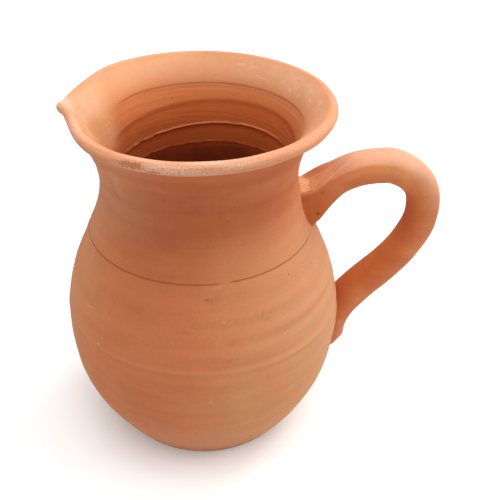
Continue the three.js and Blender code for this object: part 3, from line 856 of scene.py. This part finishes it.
def inner_tones(azimuth, height):
    """Masks for the inside: pale at the top with powder and painted highlight, then redder and darker with
    painted shade.
    """
    under_groove, under_band, under_upper, under_lower = [
        below(ring, azimuth, height) for ring in (GROOVE, BAND_EDGE, UPPER_LEDGE, LOWER_LEDGE)]
    # Painted light: the throat's wall under the spout is made tan and paler where light falls on it.
    flank = under_spout(azimuth) * step_up(height, 172, 188)
    # Painted bounce glow in the shaded throat.
    painted_bounce = 0.62 * step_up(under_groove, -12, 4) + 0.35 * step_up(under_band, -2, 3)
    # Powder and painted highlight on the flare's up-facing inside.
    powder_and_highlight = 0.35 + 0.25 * drift(35, azimuth, height, spacing=60)
    powder_and_highlight = (powder_and_highlight + band(azimuth, *POWDER_AND_HIGHLIGHT_FLARE)) * step_up(height, 200, 216)
    # Painted highlight on the ledges' torn rims.
    rims = 0.3 * bump(under_upper + 0.8, 0.8) + 0.2 * bump(under_lower + 0.7, 0.7)
    rims *= torn_side(azimuth, 0.2, 0.6)
    # Painted shade below the band edge, deep under the lower ledge and in the groove.
    shade_and_stain = 0.16 * step_up(under_band, -1, 3) * (1 - flank) + 0.55 * step_up(under_lower, 0, 5)
    return {
        "tan": 0.5 * step_up(height, 186, 200) + 0.6 * flank,
        # Painted shade below the band edge.
        "red_tone_and_shade": 0.7 * step_up(under_band, -2, 3) * (1 - flank),
        "shade_and_stain": shade_and_stain + 0.4 * at_back(azimuth) * bump(under_groove, 0.7),
        "painted_bounce": painted_bounce * (1 - flank),
        "dust_and_painted_light": powder_and_highlight + patches(azimuth, height, SPOUT_FACET) + 0.2 * flank + rims,
    }


def upper_masks(azimuth, height, outer_rows, bead_rows):
    """Masks over the upper body's rows: its outside, then its lip, then its inside."""
    row = np.arange(height.shape[1])[None, :]
    within = row >= outer_rows + bead_rows
    on_bead = (row >= outer_rows - 3) & ~within
    outer, inner = outer_tones(azimuth, height), inner_tones(azimuth, height)
    outer["red_tone_and_shade"] = outer["red_tone_and_shade"] * ~on_bead
    outer["dust_and_painted_light"] = np.where(on_bead, LIP_DUST, outer["dust_and_painted_light"])
    masks = {name: np.where(within, inner[name], outer[name]) for name in outer}
    rubbed = 0.12 + sum(band(azimuth, *wear) for wear in LIP_WEAR)
    rubbed = rubbed * (0.8 + 0.4 * drift(37, azimuth, height, turns=14, spacing=8))
    nub = band(azimuth, *WORN_NUB) * step_up(height, 214, 216)
    masks["worn"] = on_bead * rubbed * step_up(height, 212.5, 216) + nub
    return masks


def make_upper_body(material):
    even = np.arange(UPPER_COLUMNS) * 2 * np.pi / UPPER_COLUMNS - np.pi
    azimuths = SPOUT_AZIMUTH + np.degrees(even - SPOUT_CROWDING * np.sin(even))
    azimuth = azimuths[:, None]
    lip = lip_at(azimuth)
    joint_share = share_at(shoulder_curve, JOINT_HEIGHT + JOINT_CHAMFER)
    outside, bead = upper_outside(azimuths, lip, joint_share), lip_bead(azimuth, lip)
    joint = [a[:, ::-1] for a in joint_faces(joint_mask(azimuth), 1)]
    section = stack(azimuths, outside, bead, upper_inside(azimuths, lip, joint_share), joint)
    masks = upper_masks(azimuth, section[1], outside[0].shape[1], bead[0].shape[1])
    add_turned("thrown_upper_body", "upper_body", material, azimuths, section, masks)


# Ring of luting clay inside the joint

def make_luting_ring(material):
    azimuths = np.arange(180) * 2.0
    azimuth = azimuths[:, None]
    joint_radius = float(wall_radius(JOINT_HEIGHT))
    outer = joint_radius - JOINT_STEP - JOINT_GAP
    inner = joint_radius - BELLY_WALL
    half = (RING_HEIGHT - JOINT_GAP) / 2
    low, high = JOINT_HEIGHT - half, JOINT_HEIGHT + half
    bulge = np.linspace(0, np.pi, 14)[None, :]
    squeezed = RING_BULGE * np.sin(bulge) * (1 + 0.35 * drift(41, azimuth, 0, turns=30, waves=24))
    face = [inner - np.clip(squeezed, 0, 1.4), high + (low - high) * bulge / np.pi]
    back = [np.array([[outer, outer]]), np.array([[low, high]])]
    section = stack(azimuths, back, face)
    add_turned("joint_luting_ring", "shoulder_luting_ring", material, azimuths, section,
               {"tan": 0.3, "red_tone_and_shade": 0.6})


# Handle

HANDLE_STEPS = 440
HANDLE_SIDES = 144
MEASURE_STEPS = 2400


def on_outline(height):
    return np.array((float(wall_radius(height)), height))


def strap_line(steps):
    """Middle of the strap in the XZ plane, its direction, and shares of its length."""
    root, end = on_outline(HANDLE_ROOT_HEIGHT), on_outline(HANDLE_END_HEIGHT)
    down = on_outline(HANDLE_END_HEIGHT - 0.5) - end
    down /= np.hypot(*down)
    crown, reach = np.array(HANDLE_CROWN), np.array(HANDLE_REACH)
    angle = math.radians(HANDLE_ROOT_ANGLE)
    leave = np.array((math.cos(angle), math.sin(angle)))
    t = np.linspace(0, 1, 400)
    tail = end + HANDLE_TAIL_LENGTH * down
    before_crown, after_crown = HANDLE_CROWN_FULLNESS
    above_reach, below_reach = HANDLE_REACH_FULLNESS
    stretches = [
        [root[k] - NECK_WALL * (1 - t) * leave[k] for k in (0, 1)],
        bezier(root, root + HANDLE_ROOT_FULLNESS * leave, crown - (before_crown, 0), crown, t),
        bezier(crown, crown + (after_crown, 0), reach + (0, above_reach), reach, t),
        bezier(reach, reach - (0, below_reach), end - HANDLE_END_FULLNESS * down, end, t),
        [end[k] + (tail[k] - end[k]) * t for k in (0, 1)],
    ]
    line = np.concatenate([np.array(s)[:, 1:] for s in stretches], axis=1)
    length = np.concatenate([[0], np.cumsum(np.hypot(*np.diff(line)))])
    total = length[-1] - NECK_WALL
    shares = np.linspace(-NECK_WALL / total, 1, steps)
    middle = np.array([np.interp(shares * total + NECK_WALL, length, line[k]) for k in (0, 1)])
    slope = np.gradient(middle, axis=1)
    return middle, slope / np.hypot(*slope), shares


def strap_size(share):
    """Half the width and half the thickness of the strap, which ends in a round tongue."""
    shares, *sizes = np.array(STRAP_SECTIONS).T
    held = np.clip(share, 0, 1)
    closing = np.sqrt(np.clip(1 - np.clip((held - TONGUE_START) / (1 - TONGUE_START), 0, 1) ** 2, 1e-4, 1))
    return [np.interp(held, shares, size) / 2 * closing for size in sizes]


def print_edge(share, width):
    """Where the thumb's print starts, across the strap."""
    return width * np.interp(share, *np.array(HOLLOW_EDGE).T)


def thumb_hollow(share, across, width):
    """How far the thumb's print lies under the strap's plain top."""
    edge = print_edge(share, width)
    far = width * THUMB_HOLLOW["far"]
    pressed = step_up(across, edge, edge + 4) * (1 - step_up(across, far - 5, far))
    ridge = HOLLOW_RIDGE * bump(across - edge + 0.3, 0.8) * (1 - step_up(share, 0.12, 0.17))
    depth = THUMB_HOLLOW["depth"] * bump(share - THUMB_HOLLOW["middle"], THUMB_HOLLOW["spread"])
    return depth * pressed - ridge


def keep_on_wall(points):
    """Brings points that lie deep in the wall out to just under its surface."""
    radius = np.hypot(points[..., 0], points[..., 1])
    grown = np.maximum(radius, wall_radius(points[..., 2]) - LUTING_SINK) / np.maximum(radius, 1)
    return points * np.stack([grown, grown, np.ones_like(grown)], axis=-1)


def strap_section(shares, angle, size):
    """Places round the strap: across it, out from its middle, and as a rise from -1 to 1."""
    width, thickness = size
    roundness = STRAP_ROUNDNESS - CROWN_SQUARER * bump(shares - 0.33, 0.15)
    across = width * np.sign(np.cos(angle)) * np.abs(np.cos(angle)) ** roundness
    rise = np.sign(np.sin(angle)) * np.abs(np.sin(angle)) ** roundness
    out = thickness * rise - thumb_hollow(shares, across, width) * (rise > 0)
    waves = drift(51, np.degrees(angle), shares * 180, turns=4, spacing=30)
    return across, out + 0.15 * waves * np.sign(rise), rise


def print_masks(shares, across, rise, width):
    """The raised edge of the thumb's print, and its hollow."""
    edge = print_edge(shares, width)
    ridge = bump(across - edge + 0.2, 0.55) * (rise > 0) * (1 - step_up(shares, 0.12, 0.16))
    hollow = bump(shares - 0.05, 0.09) * step_up(across, edge, edge + 1.5) * (rise > 0)
    return ridge, hollow


def crown_masks(shares, rise):
    """The strap's pale top, a painted highlight, and the ochre under its edge."""
    edge = np.interp(shares, *np.array(CROWN_EDGE).T)
    soft = 0.07 + 0.5 * step_up(shares, 0.23, 0.36)
    peach = step_up(rise, edge - soft, edge + soft) * between(shares, *PEACH_SPAN)
    return peach, bump(rise - edge + 0.3, 0.25) * between(shares, *OCHRE_SPAN)


def spots(shares, angle, rows):
    """Small soft spots on the strap, added up."""
    return sum(strength * bump(shares - share, length) * bump(np.degrees(angle) + turn, spread)
               for share, turn, length, spread, strength in rows)


def handle_masks(shares, angle, across, rise, width):
    ridge, hollow = print_masks(shares, across, rise, width)
    peach, ochre = crown_masks(shares, rise)
    # Painted shade and bounce light on the strap's inner face and on the near side of its root.
    inner = np.clip(-rise, 0, 1) * step_up(shares, *INNER_SPAN)
    outer = step_up(rise, -0.2, 0.5) * step_up(shares, *OUTER_SPAN)
    near_root = 1 - step_up(shares, 0.02, 0.12)
    near_side = near_root * np.clip(-np.cos(angle), 0, 1) * (1 - np.clip(rise, 0, 1))
    # Painted light: the strap's top, the print's ridge and its hollow are made paler and tan for the light
    # they catch.
    dust_and_painted_light = 0.75 * peach + 0.15 * outer + 0.15 * ridge + 0.4 * hollow + 0.18 * step_up(shares, *TAIL_SPAN)
    return {
        "tan": 0.1 + hollow + ridge + 0.3 * peach + 0.2 * ochre,
        "red_tone_and_shade": (0.3 + 0.5 * bump(shares - 0.48, 0.08)) * inner + 0.5 * near_side,
        "painted_bounce": 0.4 * inner + 0.8 * near_side,
        "dust_and_painted_light": dust_and_painted_light + spots(shares, angle, HANDLE_SCUFFS),
        "pitted": 0.8 * hollow * (1 - step_up(shares, 0.06, 0.11)),
        "shade_and_stain": 0.06 * near_side + spots(shares, angle, HANDLE_STAINS),
    }


def make_handle(material):
    middle, along, shares = strap_line(HANDLE_STEPS)
    size = strap_size(shares)
    angle = np.linspace(0, -2 * np.pi, HANDLE_SIDES, endpoint=False)[:, None]
    across, out, rise = strap_section(shares, angle, size)
    points = np.stack([middle[0] - along[1] * out, across, middle[1] + along[0] * out], axis=-1)
    masks = handle_masks(shares, angle, across, rise, size[0])
    add_piece("pulled_handle", "handle", material, keep_on_wall(points), masks,
              capped=True)


# Luting clay smeared round the handle's two roots, between the wall and the strap

LUTING_COLUMNS = 256
LUTING_ROWS = 18


def wall_point(across, height):
    """Point on the wall near azimuth zero, and the wall's direction out there."""
    radius = wall_radius(height)
    lean = (wall_radius(height + 0.2) - wall_radius(height - 0.2)) / 0.4
    turn = across / radius
    normal = np.stack([np.cos(turn), np.sin(turn), -lean], axis=-1) / np.sqrt(1 + lean ** 2)[..., None]
    return np.stack([radius * np.cos(turn), radius * np.sin(turn), height], axis=-1), normal


def strap_level(points, line):
    """Below 1 inside the strap, 1 on its surface and above 1 outside it."""
    middle, along, shares = line
    away = (points[..., 0, None] - middle[0]) ** 2 + (points[..., 2, None] - middle[1]) ** 2
    nearest = away.argmin(axis=-1)
    share = shares[nearest]
    width, thickness = strap_size(share)
    out = (points[..., 2] - middle[1][nearest]) * along[0][nearest]
    out -= (points[..., 0] - middle[0][nearest]) * along[1][nearest]
    across = points[..., 1]
    raised = out + thumb_hollow(share, across, width)
    out = np.where(out > 0, raised, out)
    power = 2 / STRAP_ROUNDNESS
    return np.abs(across / width) ** power + np.abs(out / thickness) ** power


def landing(line, height, reach):
    """Points on the wall round the strap's end, found from a height inside it."""
    turn = np.arange(LUTING_COLUMNS) * -2 * np.pi / LUTING_COLUMNS
    near, far = np.zeros(LUTING_COLUMNS), np.full(LUTING_COLUMNS, float(reach))
    for _ in range(30):
        half = (near + far) / 2
        inside = strap_level(wall_point(half * np.cos(turn), height + half * np.sin(turn))[0], line) < 1
        near, far = np.where(inside, half, near), np.where(inside, far, half)
    return turn, near * np.cos(turn), height + near * np.sin(turn)


def unit(vectors):
    return vectors / np.linalg.norm(vectors, axis=-1, keepdims=True)


def corner_directions(corner, wall_out, line):
    """Directions at the corner: out of the strap, up along it, and over the wall."""
    steps = 0.3 * np.eye(3)
    rises = [strap_level(corner + step, line) - strap_level(corner - step, line) for step in steps]
    strap_out = unit(np.stack(rises, axis=-1))
    round_it = unit(np.cross(wall_out, strap_out))
    up_strap = np.cross(round_it, strap_out)
    up_strap *= np.sign((up_strap * wall_out).sum(-1, keepdims=True))
    over_wall = np.cross(round_it, wall_out)
    return strap_out, up_strap, over_wall * np.sign((over_wall * strap_out).sum(-1, keepdims=True))


def smear(name, node, material, height, reach, thicker, spread, climb, fullness, tones):
    """Roll of clay in the corner between wall and strap. Fullness makes it bulge."""
    line = strap_line(MEASURE_STEPS)
    turn, across, z = landing(line, height, reach)
    corner, wall_out = wall_point(across, z)
    strap_out, up_strap, over_wall = corner_directions(corner, wall_out, line)
    turn = turn[:, None]
    side, start, full = thicker
    share = step_up(side * np.sin(turn), start, full)
    spread, climb, fullness = [plain + more * share for plain, more in (spread, climb, fullness)]
    wander = 1 + 0.08 * drift(61, np.degrees(turn), 0, turns=9, waves=20)
    first = corner + over_wall * (spread * wander) - wall_out * LUTING_SINK
    last = corner + up_strap * (climb * wander) - strap_out * LUTING_SINK
    pull = corner + (first + last - 2 * corner) * fullness
    t = np.linspace(0, 1, LUTING_ROWS)[None, :, None]
    face = first[:, None] * (1 - t) ** 2 + 2 * pull[:, None] * t * (1 - t) + last[:, None] * t ** 2
    back = (corner - (wall_out + strap_out) * LUTING_SINK)[:, None]
    masks = {tone: plain + more * share for tone, (plain, more) in tones.items()}
    add_piece(name, node, material, np.concatenate([face, back], axis=1), masks)


# Floor, light and camera

def direct_rays(look):
    """1 for rays to the camera, in gloss and through glass."""
    paths = look.node("LightPath", {}).outputs
    seen = look.math("MAXIMUM", paths["Is Camera Ray"], paths["Is Glossy Ray"])
    return look.math("MAXIMUM", seen, paths["Is Transmission Ray"])


def make_floor():
    """White paper: pale grey as it lights the jug, and brighter to direct rays."""
    mesh = bpy.data.meshes.new("floor")
    corners = [(-1, -1), (1, -1), (1, 1), (-1, 1)]
    mesh.from_pydata([(x * FLOOR_HALF, y * FLOOR_HALF, 0) for x, y in corners], [], [(0, 1, 2, 3)])
    look = Look(bpy.data.materials.new("floor_paper"))
    rays = direct_rays(look)
    lift = look.range(look.length(look.place()), *FLOOR_WHITENS, FLOOR_LIFT, 1)
    mesh.materials.append(look.surface({
        "Base Color": look.mix(rays, *FLOOR_COLOURS), "Roughness": 0.9, "Specular IOR Level": 0,
        "Emission Color": (1, 1, 1, 1), "Emission Strength": look.math("MULTIPLY", rays, lift)}))
    floor = add_object("floor", mesh)


def make_world():
    world = bpy.data.worlds.new("studio")
    bpy.context.scene.world = world
    look = Look(world)
    look.tree.nodes.clear()
    seen = look.node("Background", {"Color": (1, 1, 1, 1)}).outputs[0]
    light = look.node("Background", {"Color": (1, 0.98, 0.96, 1), "Strength": WORLD_LIGHT}).outputs[0]
    mixed = look.node("MixShader", {0: direct_rays(look), 1: light, 2: seen}).outputs[0]
    look.node("OutputWorld", {"Surface": mixed})


def make_lamp(name, place, target, size, power):
    lamp = bpy.data.lights.new(name, "AREA")
    lamp.shape = "DISK"
    lamp.size = size
    lamp.energy = power
    made = add_object(name, lamp)
    made.location = place
    made.rotation_mode = "QUATERNION"
    made.rotation_quaternion = (Vector(target) - made.location).to_track_quat("-Z", "Y")


def make_camera():
    tilt, pan, roll = CAMERA_TILT, CAMERA_PAN, CAMERA_ROLL
    ahead = math.cos(tilt)
    forward = np.array([math.sin(pan) * ahead, math.cos(pan) * ahead, -math.sin(tilt)])
    level = np.array([math.cos(pan), -math.sin(pan), 0])
    up = np.cross(level, forward)
    right = math.cos(roll) * level + math.sin(roll) * up
    above = math.cos(roll) * up - math.sin(roll) * level
    camera = bpy.data.cameras.new("photo_camera")
    camera.sensor_width = SENSOR_WIDTH
    camera.lens = CAMERA_FOCAL / PHOTO_WIDTH * SENSOR_WIDTH
    camera.clip_start = 0.01
    made = add_object("photo_camera", camera)
    rows = np.column_stack([right, above, -forward, np.multiply(CAMERA_PLACE, MM)])
    made.matrix_world = Matrix([*rows, (0, 0, 0, 1)])
    bpy.context.scene.camera = made


bpy.context.scene.view_settings.view_transform = "Standard"
make_camera()
make_floor()
make_world()
for lamp_name, settings in LAMPS.items():
    make_lamp(lamp_name, *settings)

body_clay = clay("body_clay", BODY_COLOURS, marked=True)
handle_clay = clay("handle_clay", HANDLE_COLOURS)
luting_clay = clay("luting_clay", LUTING_COLOURS)
make_lower_body(body_clay)
make_upper_body(body_clay)
make_luting_ring(luting_clay)
make_handle(handle_clay)
smear("upper_luting_collar_smear", "upper_luting_collar", luting_clay, **UPPER_COLLAR)
smear("lower_luting_pad_smear", "lower_luting_pad", luting_clay, **LOWER_PAD)
